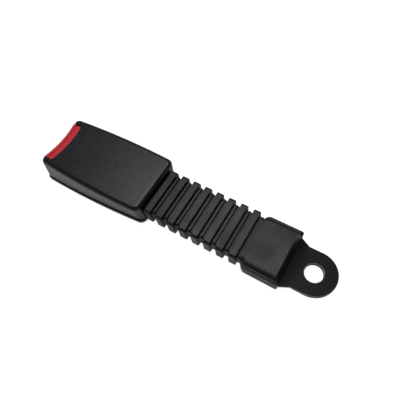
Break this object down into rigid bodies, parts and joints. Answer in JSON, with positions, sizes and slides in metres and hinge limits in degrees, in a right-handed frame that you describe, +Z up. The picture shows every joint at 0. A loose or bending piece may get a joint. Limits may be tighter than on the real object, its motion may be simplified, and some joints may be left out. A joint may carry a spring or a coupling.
{
  "type": "seat belt extender",
  "caption": "Seat belt buckle with a wide press button, on a ribbed flexible stalk that ends in a flat steel tab with a bolt hole.",
  "frame": {"origin": "centre of the bolt hole, on the underside of the anchor tab", "axes": "+X along the stalk towards the buckle's mouth, +Z up out of the side that the button and the buckle's top face, +Y to the left of +X"},
  "size_m": [0.223, 0.0516, 0.021],
  "materials": {
    "coated_steel": "satin black e-coat",
    "webbing": "woven polyester",
    "thread": "bonded thread",
    "boot_rubber": "matt, fine grain",
    "cover_plastic": "fine moulded grain",
    "guide_plastic": "smooth",
    "plated_steel": "zinc plated",
    "pin_steel": "turned",
    "spring_steel": "drawn wire",
    "white_plastic": "natural acetal",
    "red_plastic": "satin",
    "felt": "felt"
  },
  "bodies": {
    "housing": {"anchor_plate": "coated_steel", "webbing_loop": "webbing", "loop_stitching": "thread", "ribbed_boot": "boot_rubber", "lower_cover": "cover_plastic", "upper_cover": "cover_plastic", "mouth_guide": "guide_plastic", "buckle_frame": "plated_steel", "strap_pin": "pin_steel", "strap_sleeve": "white_plastic", "strap_pin_clip": "spring_steel", "spring_bridge": "plated_steel", "bridge_rivets": "pin_steel", "hinge_pin": "pin_steel", "hinge_pin_clip": "spring_steel", "latch_spring_left": "spring_steel", "latch_spring_right": "spring_steel", "button_spring_left": "spring_steel", "button_spring_right": "spring_steel", "ejector_spring": "spring_steel", "frame_pads": "felt"},
    "button": {"press_button": "red_plastic"},
    "latch": {"latch_plate": "plated_steel"},
    "ejector": {"ejector": "white_plastic"}
  },
  "joints": [
    {"name": "button_press", "type": "slide", "parent": "housing", "child": "button", "axis": [-1, 0, 0], "range_m": [0, 0.006], "stiffness_N_per_m": 800, "springref_m": -0.004, "deforming": ["button_spring_left", "button_spring_right"]},
    {"name": "latch_lift", "type": "hinge", "parent": "housing", "child": "latch", "pos_m": [0.149, 0, 0.0096], "axis": [0, -1, 0], "range_deg": [0, 11], "deforming": ["latch_spring_left", "latch_spring_right"]},
    {"name": "ejector_slide", "type": "slide", "parent": "housing", "child": "ejector", "axis": [-1, 0, 0], "range_m": [0, 0.012], "stiffness_N_per_m": 400, "springref_m": -0.006, "deforming": ["ejector_spring"]}
  ],
  "couplings": [
    {"joint": "latch_lift", "follows": "button_press", "rad_per_m": 31.99}
  ]
}
